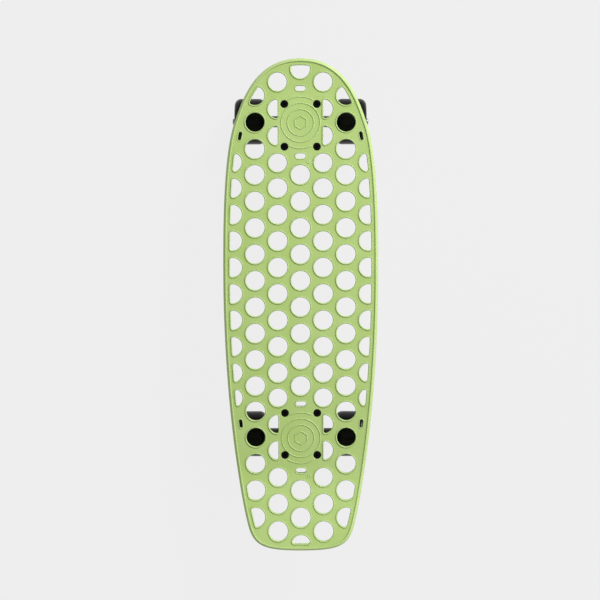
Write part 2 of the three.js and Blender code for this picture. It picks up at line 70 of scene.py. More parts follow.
# ---- Driving dimensions, in millimetres ----

DECK_LOW, DECK_HIGH = (np.array(corner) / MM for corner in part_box("deck"))
NOSE_X = DECK_HIGH[0]
TAIL_X = DECK_LOW[0]
HALF_WIDTH = DECK_HIGH[1]
UNDERSIDE_Z = DECK_LOW[2]
DECK_DEPTH = 12.0
TOP_Z = UNDERSIDE_Z + DECK_DEPTH
PLATE_THICKNESS = 5.0
SKIRT_THICKNESS = 4.5
TAIL_BEND_X = -204.0
TAIL_ANGLE = math.radians(15.6)
NOSE_BEND_X = 266.0
NOSE_ANGLE = math.radians(5.0)
BEND_RADIUS = 115.0

HOLE_RADIUS = 12.0
COLUMN_SPACING = 28.95
ROW_PITCH = 33.7
END_ROW_SHIFT = 1.1
ZONE_CORNER_SHRINK = 0.5
ZONE_CORNER_SHIFT = 0.6
HOLE_INSET = 9.0
RIB_THICKNESS = 2.6
CORNER_ROUNDING = 2.3
CORNER_STEP = math.radians(14)

AXLE_OUTBOARD = 6.8
TRUCK_X = {end: centre(f"{end}_axle").x / MM - sign * AXLE_OUTBOARD for end, sign in ENDS}
PATTERN_MIDDLE_X = (TRUCK_X["front"] + TRUCK_X["rear"]) / 2
ZONE_OFFSET = 4.2
ZONE_HALF_WIDTH = 29.0
SLOT_STEPS = 10
SLOT_SIZE = (13.0, 6.5)
SLOT_OFFSET = 42.9
SIDE_SLOT_SIZE = (11.0, 4.2)
SIDE_SLOT_X = 183.7
SIDE_SLOT_Y = 77.1
SIDE_SLOT_TURN = {"front": math.radians(11), "rear": math.radians(6)}
RING_RADII = (16.8, 24.7, 32.7)
RING_OFFSETS = {"front": 3.5, "rear": 5.0}
BOLT_HEAD_RADIUS = 4.85
BOLT_CLEARANCE = 0.2
SEAT_FOOT = 0.5
SEAT_RADIUS = BOLT_HEAD_RADIUS + BOLT_CLEARANCE + SEAT_FOOT
SEAT_STEPS = 36
BOLT_PATTERN_HALF = (26.99, 20.64)
TOUCH_GAP = 0.3
BASEPLATE_THICKNESS = 5.0

# a truck's own frame: +X out to the near end of the deck, its origin on the deck's underside
AXLE_LOCAL = np.array([AXLE_OUTBOARD, 0.0, -48.0])
RING_CENTRE = np.array([-14.0, 0.0, -37.5])
PIVOT_POINT = np.array([27.0, 0.0, -13.0])
KINGPIN_UP = np.array([math.sin(math.radians(22)), 0.0, math.cos(math.radians(22))])
STEERING_AXIS = (PIVOT_POINT - RING_CENTRE) / np.linalg.norm(PIVOT_POINT - RING_CENTRE)


# ---- Mesh building ----

class Surface:
    """Vertices and faces in millimetres. Points that coincide are merged when it is made into an object."""

    def __init__(self):
        self.points = []
        self.faces = []
        self.count = 0

    def add(self, points, faces):
        self.points.append(np.asarray(points, dtype=float))
        self.faces.extend([[i + self.count for i in face] for face in faces])
        self.count += len(points)

    def strip(self, rings):
        """Quads between successive closed rings of equally many points."""
        n = len(rings[0])
        faces = []
        for k in range(len(rings) - 1):
            for i in range(n):
                j = (i + 1) % n
                faces.append([k * n + i, k * n + j, (k + 1) * n + j, (k + 1) * n + i])
        self.add(np.concatenate(rings), faces)

    def lathe(self, profile, segments, place):
        """Turned about +Z. An entry is (radius, height), and the radius may be a function of the angle."""
        angles = 2 * math.pi * np.arange(segments) / segments
        rings = []
        for radius, height in profile:
            r = radius(angles) if callable(radius) else np.full(segments, float(radius))
            ring = np.column_stack([r * np.cos(angles), r * np.sin(angles), np.full(segments, height)])
            rings.append(transformed(ring, place))
        self.strip(rings)

    def prism(self, outline, half_width, place):
        """Side-view outline (x, z), reaching the same distance to each side of y = 0."""
        outline = np.asarray(outline, dtype=float)
        n = len(outline)
        points = []
        for y in (-half_width, half_width):
            points.append(np.column_stack([outline[:, 0], np.full(n, y), outline[:, 1]]))
        faces = [list(range(n)), list(range(2 * n - 1, n - 1, -1))]
        faces += [[i, i + n, (i + 1) % n + n, (i + 1) % n] for i in range(n)]
        self.add(transformed(np.concatenate(points), place), faces)

    def make(self, name, sharp=SHARP_ANGLE, smooth=True):
        mesh = bpy.data.meshes.new(name)
        mesh.from_pydata((np.concatenate(self.points) * MM).tolist(), [], self.faces)
        work = bmesh.new()
        work.from_mesh(mesh)
        bmesh.ops.remove_doubles(work, verts=work.verts, dist=MERGE_DISTANCE * MM)
        unused = [vertex for vertex in work.verts if not vertex.link_faces]
        bmesh.ops.delete(work, geom=unused, context="VERTS")
        bmesh.ops.recalc_face_normals(work, faces=work.faces)
        work.to_mesh(mesh)
        work.free()
        if smooth:
            mesh.shade_smooth()
            mesh.set_sharp_from_angle(angle=math.radians(sharp))
        obj = bpy.data.objects.new(name, mesh)
        bpy.context.scene.collection.objects.link(obj)
        return obj


def transformed(points, matrix):
    m = np.array(matrix)
    return points @ m[:3, :3].T + m[:3, 3]


def along(origin, direction):
    """Matrix that stands +Z along a direction, at a point."""
    turn = Vector((0, 0, 1)).rotation_difference(Vector(direction)).to_matrix().to_4x4()
    return Matrix.Translation(Vector(origin)) @ turn


UPSIDE_DOWN = Matrix.Rotation(math.pi, 4, "X")
TO_PLUS_Y = Matrix.Rotation(-math.pi / 2, 4, "X")


def arc(cx, cz, radius, start, end, steps):
    """Points of a round stretch of a profile, angles in degrees."""
    angles = [math.radians(start + (end - start) * i / steps) for i in range(steps + 1)]
    return [(cx + radius * math.cos(a), cz + radius * math.sin(a)) for a in angles]


def hexagon(across_flats):
    """Radius of a hexagon as a function of the angle."""

    def radius(angles):
        folded = np.mod(angles + math.pi / 6, math.pi / 3) - math.pi / 6
        return across_flats / 2 / np.cos(folded)

    return radius


def limited(radius, limit):
    """A radius function cut to a largest radius."""
    return lambda angles: np.minimum(radius(angles), limit)


def grown(radius, extra):
    """A radius function with a distance added."""
    return lambda angles: radius(angles) + extra


def apply_modifiers(obj):
    depsgraph = bpy.context.evaluated_depsgraph_get()
    mesh = bpy.data.meshes.new_from_object(obj.evaluated_get(depsgraph))
    obj.modifiers.clear()
    old = obj.data
    obj.data = mesh
    bpy.data.meshes.remove(old)


def cast(name, surface, cutters):
    """One cast body from overlapping solids: merged, its corners filled and edges eased, then machined."""
    obj = surface.make(name, smooth=False)
    remesh = obj.modifiers.new("merge", "REMESH")
    remesh.mode = "VOXEL"
    remesh.voxel_size = CAST_VOXEL * MM
    ease = obj.modifiers.new("ease", "SMOOTH")
    ease.factor = 0.5
    ease.iterations = CAST_SMOOTHING
    apply_modifiers(obj)
    for i, cutter in enumerate(cutters):
        tool = cutter.make(f"{name}_cutter_{i}", smooth=False)
        cut = obj.modifiers.new("cut", "BOOLEAN")
        cut.operation = "DIFFERENCE"
        cut.solver = "EXACT"
        cut.object = tool
        apply_modifiers(obj)
        bpy.data.objects.remove(tool)
    obj.data.shade_smooth()
    obj.data.set_sharp_from_angle(angle=math.radians(CAST_SHARP_ANGLE))
    return obj


def dress(obj, finish, nodes):
    """Gives a piece its material, and hides the CAD nodes that it stands for."""
    material, slot = FINISHES[finish]
    obj.data.materials.clear()
    obj.data.materials.append(material)
    if nodes:
        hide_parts(*nodes)


def finish_piece(obj, finish, body, nodes):
    dress(obj, finish, nodes)
    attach(obj, body)


def turned_piece(name, profile, segments, place, finish, body, nodes=(), sharp=SHARP_ANGLE):
    """A whole piece of one turned surface."""
    surface = Surface()
    surface.lathe(profile, segments, place)
    finish_piece(surface.make(name, sharp), finish, body, nodes)


# ---- Materials ----

EVEN = (1, 1, 1)
NOISE_RANGE = (0.3, 0.7)
# pointiness ranges that bring in the painted highlight on sharp convex edges and the painted shade in sharp
# creases
EDGE_HIGHLIGHT_POINTINESS = (0.515, 0.57)
CREASE_SHADE_POINTINESS = (0.49, 0.45)
# sockets of a Mix node that blends colours, which share their names with its other sockets
MIX_FACTOR, MIX_A, MIX_B, MIX_RESULT = 0, 6, 7, 2


class Nodes:
    """A short way to write a procedural material round one Principled shader, whose sockets it may set."""

    def __init__(self, name, **values):
        self.material = bpy.data.materials.new(name)
        self.material.use_nodes = True
        self.tree = self.material.node_tree
        self.shader = self.tree.nodes["Principled BSDF"]
        for key, value in values.items():
            self.shader.inputs[key.replace("_", " ")].default_value = value

    def node(self, kind, **values):
        made = self.tree.nodes.new(kind)
        for key, value in values.items():
            if key in made.inputs:
                made.inputs[key].default_value = value
            else:
                setattr(made, key, value)
        return made

    def link(self, source, output, target, socket):
        self.tree.links.new(source.outputs[output], target.inputs[socket])

    def noise(self, scale, detail=4.0, stretch=EVEN):
        coords = self.node("ShaderNodeTexCoord")
        mapping = self.node("ShaderNodeMapping", Scale=stretch)
        made = self.node("ShaderNodeTexNoise", Scale=scale, Detail=detail, Roughness=0.55)
        self.link(coords, "Object", mapping, "Vector")
        self.link(mapping, "Vector", made, "Vector")
        return made

    def spread(self, source, output, old, new):
        """Maps one range of values on to another."""
        made = self.node("ShaderNodeMapRange")
        for socket, value in zip(("From Min", "From Max", "To Min", "To Max"), (*old, *new)):
            made.inputs[socket].default_value = value
        self.link(source, output, made, "Value")
        return made

    def vary_colour(self, scale, low, high):
        ramp = self.node("ShaderNodeValToRGB")
        for element, position, colour in zip(ramp.color_ramp.elements, NOISE_RANGE, (low, high)):
            element.position = position
            element.color = (*colour, 1)
        self.link(self.noise(scale), "Fac", ramp, "Fac")
        self.link(ramp, "Color", self.shader, "Base Color")

    def paint_edge_highlight_and_crease_shade(self, edge, edge_share, crease, crease_share):
        """Paints light and shade into the colour: blends the colour so far towards one colour on sharp
        edges, a painted highlight, and towards another in sharp creases, painted shade.
        """
        geometry = self.node("ShaderNodeNewGeometry")
        base = self.shader.inputs["Base Color"].links[0].from_socket
        blends = ((edge, edge_share, EDGE_HIGHLIGHT_POINTINESS), (crease, crease_share, CREASE_SHADE_POINTINESS))
        for colour, share, pointiness in blends:
            amount = self.spread(geometry, "Pointiness", pointiness, (0, share))
            blend = self.node("ShaderNodeMix", data_type="RGBA")
            blend.inputs[MIX_B].default_value = (*colour, 1)
            self.link(amount, "Result", blend, MIX_FACTOR)
            self.tree.links.new(base, blend.inputs[MIX_A])
            base = blend.outputs[MIX_RESULT]
        self.tree.links.new(base, self.shader.inputs["Base Color"])

    def vary_roughness(self, scale, low, high, stretch=EVEN):
        noise = self.noise(scale, stretch=stretch)
        roughness = self.spread(noise, "Fac", NOISE_RANGE, (low, high))
        self.link(roughness, "Result", self.shader, "Roughness")

    def bump(self, layers):
        """Layers of (noise scale, height in metres, stretch), stacked."""
        previous = None
        for scale, height, stretch in layers:
            noise = self.noise(scale, detail=3.0, stretch=stretch)
            made = self.node("ShaderNodeBump", Strength=1.0, Distance=height)
            self.link(noise, "Fac", made, "Height")
            if previous is not None:
                self.link(previous, "Normal", made, "Normal")
            previous = made
        self.link(previous, "Normal", self.shader, "Normal")


def deck_plastic():
    m = Nodes("deck_plastic", Roughness=0.42, IOR=1.5, Specular_IOR_Level=0.38)
    m.vary_colour(22, (0.396, 0.548, 0.162), (0.440, 0.586, 0.206))
    # painted highlight: a pale colour on the sharp crests of lips and rims; painted shade: a dark olive
    # colour in the creases at their feet
    m.paint_edge_highlight_and_crease_shade((0.62, 0.72, 0.52), 0.6, (0.13, 0.26, 0.004), 0.75)
    m.vary_roughness(60, 0.36, 0.5)
    m.bump([(900, 0.00004, EVEN), (160, 0.00006, EVEN)])
    return m.material


def truck_black():
    m = Nodes("truck_black", Roughness=0.35, Coat_Weight=0.35, Coat_Roughness=0.18)
    m.vary_colour(120, (0.010, 0.010, 0.011), (0.018, 0.018, 0.019))
    m.vary_roughness(220, 0.3, 0.46)
    m.bump([(1400, 0.00005, EVEN), (260, 0.00012, EVEN)])
    return m.material


def black_hardware():
    m = Nodes("black_hardware", Roughness=0.38, Specular_IOR_Level=0.08)
    m.vary_colour(400, (0.0012, 0.0012, 0.0013), (0.0032, 0.003, 0.0032))
    m.vary_roughness(600, 0.3, 0.5)
    m.bump([(2500, 0.00002, EVEN)])
    return m.material


def steel(name, low, high, roughness, stretch):
    m = Nodes(name, Metallic=1.0)
    m.vary_colour(180, low, high)
    m.vary_roughness(500, roughness[0], roughness[1], stretch=stretch)
    m.bump([(900, 0.000012, stretch)])
    return m.material


def wheel_urethane():
    m = Nodes("wheel_urethane", Roughness=0.28, Specular_IOR_Level=0.12)
    m.vary_colour(70, (0.0016, 0.0015, 0.0014), (0.0036, 0.0033, 0.0031))
    m.vary_roughness(110, 0.22, 0.34)
    m.bump([(1200, 0.00004, EVEN), (180, 0.00008, (1, 3, 1))])
    return m.material


def matte_black(name, low, high, roughness):
    m = Nodes(name)
    m.vary_colour(150, low, high)
    m.vary_roughness(300, roughness[0], roughness[1])
    m.bump([(1100, 0.00005, EVEN)])
    return m.material


BRIGHT_STEEL = steel("bright_steel", (0.30, 0.31, 0.32), (0.42, 0.43, 0.44), (0.36, 0.5), (1, 1, 6))
ZINC_STEEL = steel("zinc_steel", (0.36, 0.37, 0.39), (0.5, 0.51, 0.52), (0.3, 0.5), EVEN)
BUSHING = matte_black("bushing_urethane", (0.014, 0.014, 0.015), (0.024, 0.024, 0.025), (0.5, 0.68))
CUP = matte_black("pivot_cup_plastic", (0.022, 0.022, 0.024), (0.034, 0.034, 0.036), (0.55, 0.7))
SHIELD = matte_black("bearing_shield_rubber", (0.012, 0.012, 0.013), (0.02, 0.02, 0.021), (0.4, 0.6))

# the material of each kind of piece, and the record's slot that it takes its finish from
FINISHES = {
    "deck": (deck_plastic(), "deck_plastic"),
    "truck": (truck_black(), "truck_black"),
    "hardware": (black_hardware(), "black_hardware"),
    "steel": (BRIGHT_STEEL, "steel"),
    "zinc": (ZINC_STEEL, "steel"),
    "wheel": (wheel_urethane(), "wheel_urethane"),
    "bushing": (BUSHING, "bushing_urethane"),
    "cup": (CUP, "pivot_cup_plastic"),
    "shield": (SHIELD, "steel"),
}


# ---- Deck: plan curves ----

def outline_curve(steps):
    """Points and outward normals right round the deck: four curves on the left, mirrored on the right."""
    nose, tail, wide = NOSE_X, TAIL_X, HALF_WIDTH
    curves = [
        [(nose, 0), (nose, 57.7), (nose - 52, 73.9), (nose - 81, 84)],
        [(nose - 81, 84), (nose - 122, 98.2), (102, wide), (40, wide)],
        [(40, wide), (-105, wide), (tail + 80.6, 81.7), (tail + 30.6, 67.6)],
        [(tail + 30.6, 67.6), (tail + 5.4, 60.5), (tail, 47.7), (tail, 0)],
    ]
    points = []
    normals = []
    for curve in curves:
        a, b, c, d = (np.array(p, dtype=float) for p in curve)
        for i in range(steps):
            t = i / steps
            s = 1 - t
            points.append(s**3 * a + 3 * s * s * t * b + 3 * s * t * t * c + t**3 * d)
            slope = s * s * (b - a) + 2 * s * t * (c - b) + t * t * (d - c)
            slope /= np.linalg.norm(slope)
            normals.append(np.array([slope[1], -slope[0]]))
    points.append(np.array([tail, 0.0]))
    normals.append(np.array([-1.0, 0.0]))
    points = np.array(points)
    normals = np.array(normals)
    mirror = np.array([1.0, -1.0])
    points = np.concatenate([points, points[-2:0:-1] * mirror])
    normals = np.concatenate([normals, normals[-2:0:-1] * mirror])
    return points, normals


def bend_height(distance, angle):
    """Height that a bend adds, at a distance past its start."""
    arc_length = BEND_RADIUS * math.sin(angle)
    on_arc = BEND_RADIUS - np.sqrt(BEND_RADIUS**2 - np.clip(distance, 0, arc_length) ** 2)
    return on_arc + np.clip(distance - arc_length, 0, None) * math.tan(angle)


def lift(x):
    return bend_height(TAIL_BEND_X - x, TAIL_ANGLE) + bend_height(x - NOSE_BEND_X, NOSE_ANGLE)


def raised(points, depth):
    """Plan points at a height over the bent top face."""
    z = TOP_Z + lift(points[:, 0]) + depth
    return np.column_stack([points, z])


def clip(polygon, point, normal):
    """The part of a convex polygon behind a line."""
    side = (polygon - point) @ normal
    kept = []
    n = len(polygon)
    for i in range(n):
        j = (i + 1) % n
        if side[i] <= 0:
            kept.append(polygon[i])
        if side[i] * side[j] < 0:
            t = side[i] / (side[i] - side[j])
            kept.append(polygon[i] + t * (polygon[j] - polygon[i]))
    return np.array(kept)


def edge_normals(polygon):
    along_edge = np.roll(polygon, -1, axis=0) - polygon
    along_edge /= np.linalg.norm(along_edge, axis=1)[:, None]
    return np.column_stack([along_edge[:, 1], -along_edge[:, 0]])


def rounded(polygon, radius):
    """Points and outward normals of a convex anticlockwise polygon with its corners rounded."""
    shrunk = polygon
    for point, normal in zip(polygon, edge_normals(polygon)):
        shrunk = clip(shrunk, point - normal * radius, normal)
    far = np.linalg.norm(np.roll(shrunk, -1, axis=0) - shrunk, axis=1) > 1e-3
    shrunk = shrunk[far]
    after = edge_normals(shrunk)
    before = np.roll(after, 1, axis=0)
    points = []
    normals = []
    for vertex, first, last in zip(shrunk, before, after):
        start = math.atan2(first[1], first[0])
        turn = (math.atan2(last[1], last[0]) - start) % (2 * math.pi)
        pieces = math.ceil(turn / CORNER_STEP)
        angles = [start + turn / 2]
        if pieces > 1:
            angles = [start + turn * k / pieces for k in range(pieces + 1)]
        for angle in angles:
            normal = np.array([math.cos(angle), math.sin(angle)])
            points.append(vertex + radius * normal)
            normals.append(normal)
    return np.array(points), np.array(normals)


def circle(x, y, radius, count=48, start=0.0):
    angles = start + 2 * math.pi * np.arange(count) / count
    normals = np.column_stack([np.cos(angles), np.sin(angles)])
    return np.array([x, y]) + radius * normals, normals


def hole_centres():
    """(x, y, radius, next to a truck zone) for each hole of the pattern."""
    found = []

    def add(column, row):
        shift = -math.copysign(END_ROW_SHIFT, row) if abs(row) >= 4.5 else 0.0
        radius = HOLE_RADIUS
        if column == 1 and abs(row) in (4.5, 7.5):
            radius -= ZONE_CORNER_SHRINK
            shift += ZONE_CORNER_SHIFT * math.copysign(1, abs(row) - 6) * math.copysign(1, row)
        beside = column == 1 and 5 < abs(row) < 7
        x = PATTERN_MIDDLE_X + row * ROW_PITCH + shift
        for side in (1,) if column == 0 else (1, -1):
            found.append((x, side * column * COLUMN_SPACING, radius, beside))

    for row in (*range(-4, 5), 8, -8, -9, -10):
        add(0, row)
    for row in range(-9, 9):
        add(1, row - 0.5)
    for row in range(-9, 8):
        add(2, row)
    for row in range(-4, 6):
        add(3, row - 0.5)
    return found


def trimmed(polygon, x, y, beside, outline, inset, zone_half_width):
    """A hole's or a pocket's plan, cut back along the rim and along a truck zone."""
    points, normals = outline
    near = np.linalg.norm(points - (x, y), axis=1) < 3 * HOLE_RADIUS
    for p, n in zip(points[near], normals[near]):
        polygon = clip(polygon, p - n * inset, n)
    if beside:
        side = math.copysign(1, y)
        polygon = clip(polygon, np.array([x, side * zone_half_width]), np.array([0.0, -side]))
    return polygon


def hole_loops(outline):
    loops = []
    for x, y, radius, beside in hole_centres():
        polygon = circle(x, y, radius)[0]
        polygon = trimmed(polygon, x, y, beside, outline, HOLE_INSET, ZONE_HALF_WIDTH)
        loops.append(rounded(polygon, CORNER_ROUNDING))
    return loops


def slot_loop(x, y, length, width, turn):
    """A slot with round ends, its long side turned from +X."""
    half = (length - width) / 2
    points = []
    normals = []
    for end in (1, -1):
        for k in range(SLOT_STEPS + 1):
            angle = math.pi * (k / SLOT_STEPS - 0.5) + (0 if end > 0 else math.pi)
            normal = np.array([math.cos(angle), math.sin(angle)])
            points.append(np.array([end * half, 0.0]) + normal * width / 2)
            normals.append(normal)
    c, s = math.cos(turn), math.sin(turn)
    rotate = np.array([[c, s], [-s, c]])
    return np.array(points) @ rotate + (x, y), np.array(normals) @ rotate


def slot_loops():
    loops = []
    for end, sign in ENDS:
        zone = TRUCK_X[end] + sign * ZONE_OFFSET
        for side in (1, -1):
            loops.append(slot_loop(zone + side * SLOT_OFFSET, 0, *SLOT_SIZE, math.pi / 2))
            x = PATTERN_MIDDLE_X + sign * SIDE_SLOT_X
            turn = -side * sign * SIDE_SLOT_TURN[end]
            loops.append(slot_loop(x, side * SIDE_SLOT_Y, *SIDE_SLOT_SIZE, turn))
    return loops


def bolt_places():
    """(name, x, y) of the deck bolts."""
    places = []
    for end, _ in ENDS:
        for number in range(1, 5):
            name = f"{end}_deck_bolt_{number}"
            at = centre(name) / MM
            places.append((name, at.x, at.y))
    return places


# ---- Deck: relief on the top face ----

RIDGE_HALF_WIDTH = 0.85
RIDGE_HEIGHT = 0.8
RIDGE_STEPS = (-1.35, -1.1, -0.85, -0.6, -0.3, 0.0, 0.3, 0.6, 0.85, 1.1, 1.35)
RING_STEPS = 96
ARC_STEPS = 40
SEAT_MARGIN = 0.25
SEAT_FADE = 0.6
SEAT_LINES_REACH = RING_RADII[1] + 2.0
ARC_REACHES = {"front": (30.5, 26.0), "rear": (32.6, 26.8)}
ARC_FADE = 0.03
EMBLEM_RADIUS = 8.5
EMBLEM_APOTHEM = EMBLEM_RADIUS * math.cos(math.pi / 6)
MARK_RADIUS = 1.7
MARK_HEIGHT_SHARE = 0.8
MARK_PLACES = ((PATTERN_MIDDLE_X + 151.0, -9.8), (PATTERN_MIDDLE_X - 251.0, -10.3))


def ring_centres():
    """(x, direction, arcs) of each ring set. An arc of the outer ring is its middle angle and its reach."""
    found = []
    for end, sign in ENDS:
        outer, inner = (math.radians(reach) for reach in ARC_REACHES[end])
        found.append((TRUCK_X[end] + sign * RING_OFFSETS[end], sign, ((0.0, outer), (math.pi, inner))))
    return found


def ridge(distance):
    inside = np.abs(distance) < RIDGE_HALF_WIDTH
    return np.where(inside, RIDGE_HEIGHT * np.cos(0.5 * math.pi * distance / RIDGE_HALF_WIDTH) ** 2, 0.0)


def hex_distance(x, y):
    """Distance from a centre measured so that a regular hexagon is a line of equal distance."""
    angles = np.arctan2(y, x)
    folded = np.mod(angles, math.pi / 3) - math.pi / 6
    return np.hypot(x, y) * np.cos(folded)


def seat_clearance(points):
    """Distance from each point to the edge of the nearest bolt seat."""
    seats = np.array([(x, y) for _, x, y in bolt_places()])
    return np.linalg.norm(points[:, None] - seats, axis=2).min(axis=1) - SEAT_RADIUS


def stretches(line, closed, kept):
    """The stretches of a line whose points are all kept."""
    if kept.all():
        return [(line, closed)]
    if closed:
        start = np.argmin(kept)
        line = np.roll(line, -start, axis=0)
        kept = np.roll(kept, -start)
    runs = np.split(np.arange(len(line)), np.flatnonzero(np.diff(kept)) + 1)
    return [(line[run], False) for run in runs if kept[run[0]] and len(run) > 1]


def relief(points):
    """Height of the moulded rings, the hexagon in them and two small round moulding marks."""
    height = np.zeros(len(points))
    for zone, sign, arcs in ring_centres():
        x = (points[:, 0] - zone) * sign
        y = points[:, 1]
        radius = np.hypot(x, y)
        height += ridge(radius - RING_RADII[0]) + ridge(radius - RING_RADII[1])
        angle = np.arctan2(y, x)
        for middle, reach in arcs:
            off = np.abs((angle - middle + math.pi) % (2 * math.pi) - math.pi)
            fade = np.clip((reach - off) / ARC_FADE, 0, 1)
            height += ridge(radius - RING_RADII[2]) * fade
        height += ridge(hex_distance(x, y) - EMBLEM_APOTHEM)
    for x, y in MARK_PLACES:
        height += MARK_HEIGHT_SHARE * ridge(np.hypot(points[:, 0] - x, points[:, 1] - y) - MARK_RADIUS)
    return height * np.clip(seat_clearance(points) / SEAT_FADE, 0, 1)


def relief_lines():
    """Polylines that the top face's triangles follow, so that the relief is sharp."""
    lines = []
    for zone, sign, arcs in ring_centres():
        for step in RIDGE_STEPS:
            for radius in RING_RADII[:2]:
                lines.append((circle(zone, 0, radius + step, RING_STEPS, math.pi / RING_STEPS)[0], True))
            for middle, reach in arcs:
                angles = middle + np.linspace(-reach, reach, ARC_STEPS)
                radius = RING_RADII[2] + step
                x = zone + sign * radius * np.cos(angles)
                lines.append((np.column_stack([x, radius * np.sin(angles)]), False))
            corners = circle(zone, 0, EMBLEM_RADIUS + step / math.cos(math.pi / 6), 6)[0]
            sides = []
            for corner, following in zip(corners, np.roll(corners, -1, axis=0)):
                sides += [corner + (following - corner) * k / 6 for k in range(6)]
            lines.append((np.array(sides), True))
    for x, y in MARK_PLACES:
        for step in RIDGE_STEPS:
            lines.append((circle(x, y, MARK_RADIUS + step, 20)[0], True))
    found = []
    for line, closed in lines:
        found += stretches(line, closed, seat_clearance(line) > SEAT_MARGIN)
    for zone, _, _ in ring_centres():
        for _, x, y in bolt_places():
            for reach in (SEAT_FADE / 2, SEAT_FADE):
                line = circle(x, y, SEAT_RADIUS + reach, SEAT_STEPS)[0]
                near = np.hypot(line[:, 0] - zone, line[:, 1]) < SEAT_LINES_REACH
                found += stretches(line, True, near)
    return found


# ---- Deck: faces ----

# profiles of (distance outwards from a hole's wall or inwards from the deck's edge, height over the top)
LIP = (
    (0.25, -PLATE_THICKNESS), (0.0, -1.2), (0.03, -0.6), (0.15, 0.0), (0.38, 0.5), (0.7, 0.86),
    (0.98, 1.03), (1.18, 1.05), (1.34, 0.9), (1.48, 0.55), (1.6, 0.2), (1.72, 0.03), (1.9, 0.0),
    (2.55, 0.0),
)
SLOT_LIP = (
    (0.15, -PLATE_THICKNESS), (0.0, -1.0), (0.04, -0.45), (0.2, 0.05), (0.45, 0.4), (0.75, 0.55),
    (1.0, 0.5), (1.15, 0.28), (1.28, 0.06), (1.4, 0.0), (1.7, 0.0),
)
BOLT_SEAT = (
    (-2.3, -PLATE_THICKNESS), (-2.3, -2.9), (0.1, -0.35), (0.2, -0.12), (0.35, 0.0), (SEAT_FOOT, 0.0),
)
RIM = (
    (1.3, -DECK_DEPTH), (0.75, -11.8), (0.35, -11.3), (0.2, -10.5), (0.0, -3.6), (0.1, -2.7), (0.35, -1.7),
    (0.8, -0.75), (1.4, 0.0), (2.1, 0.65), (2.8, 1.05), (3.4, 1.2), (3.8, 1.12), (4.05, 0.85), (4.25, 0.45),
    (4.4, 0.12), (4.55, 0.0), (4.9, 0.0), (6.0, 0.0),
)

OUTLINE_STEPS = 40
BEND_STEP = 3.2
BEND_ROW_STEP = 4.0
BEND_ROWS = 24
BEND_POINT_CLEARANCE = 0.8
CELL_INSET = SKIRT_THICKNESS - 1.0
CELL_ZONE_HALF_WIDTH = ZONE_HALF_WIDTH - 2.0

# what a triangle of the underside belongs to
OUTSIDE, OPEN, POCKET, FULL_DEPTH = -1, 0, 1, 2


def within(points, loop):
    """Which points lie inside a loop, by counting its edges on one side of each point."""
    low = loop.min(axis=0)
    high = loop.max(axis=0)
    inside = np.all((points >= low) & (points <= high), axis=1)
    chosen = np.flatnonzero(inside)
    if len(chosen):
        x, y = points[chosen, 0][:, None], points[chosen, 1][:, None]
        ax, ay = loop[:, 0], loop[:, 1]
        bx, by = np.roll(ax, -1), np.roll(ay, -1)
        spans = (ay > y) != (by > y)
        rise = np.where(spans, by - ay, 1.0)
        crossing = spans & (x < ax + (y - ay) * (bx - ax) / rise)
        inside[chosen] = crossing.sum(axis=1) % 2 == 1
    return inside


def triangulate(lines, scattered):
    """Triangles that follow every line. Returns points and triangles over their convex hull."""
    coords = []
    edges = []
    for line, closed in lines:
        start = len(coords)
        n = len(line)
        coords.extend(Vector(p) for p in line)
        edges.extend((start + i, start + (i + 1) % n) for i in range(n if closed else n - 1))
    coords.extend(Vector(p) for p in scattered)
    out = delaunay_2d_cdt(coords, edges, [], 0, 1e-5, False)
    return np.array([tuple(v) for v in out[0]]), np.array(out[2])


def bend_points(barred, margin):
    """Points over the bent stretches and a little past them, clear of the loops, for smooth bends."""
    tail_arc = BEND_RADIUS * math.sin(TAIL_ANGLE)
    nose_arc = BEND_RADIUS * math.sin(NOSE_ANGLE)
    xs = np.concatenate([
        np.arange(TAIL_BEND_X - tail_arc - 4, TAIL_BEND_X + 5, BEND_STEP),
        np.arange(NOSE_BEND_X - 3, NOSE_BEND_X + nose_arc + 4, BEND_STEP),
    ])
    rows = BEND_ROW_STEP * np.arange(-BEND_ROWS, BEND_ROWS + 1)
    grid = np.array([(x, y) for x in xs for y in rows])
    keep = within(grid, margin)
    for loop in barred:
        keep &= ~within(grid, loop)
    return grid[keep]


def profile_lines(loops, end, extra=0.0):
    """Each loop, moved out as far as its lip's profile goes at its bottom end (0) or its foot (-1)."""
    return [points + normals * (lip[end][0] + extra) for (points, normals), lip in loops]


def top_face(surface, outline, loops):
    """The flat between the rim and the lips, with its relief."""
    edge = outline[0] - outline[1] * RIM[-1][0]
    feet = profile_lines(loops, -1)
    lines = [(edge, True)] + [(foot, True) for foot in feet] + relief_lines()
    barred = profile_lines(loops, -1, BEND_POINT_CLEARANCE)
    margin = outline[0] - outline[1] * (RIM[-1][0] + 1.0)
    points, triangles = triangulate(lines, bend_points(barred, margin))
    middles = points[triangles].mean(axis=1)
    keep = within(middles, edge)
    for foot in feet:
        keep &= ~within(middles, foot)
    placed = raised(points, relief(points))
    surface.add(placed, triangles[keep].tolist())


def pad_outline(end, sign):
    """Plan of the solid block under a truck zone, anticlockwise."""
    x = TRUCK_X[end] + sign * ZONE_OFFSET
    quarter = [(48.0, 11.0), (35.5, 26.5), (33.5, 28.2)]
    right = [(a, -b) for a, b in reversed(quarter)]
    half = right + quarter
    ring = half + [(-a, -b) for a, b in half]
    ordered = sorted(ring, key=lambda p: math.atan2(p[1], p[0]))
    return np.array(ordered) + (x, 0)


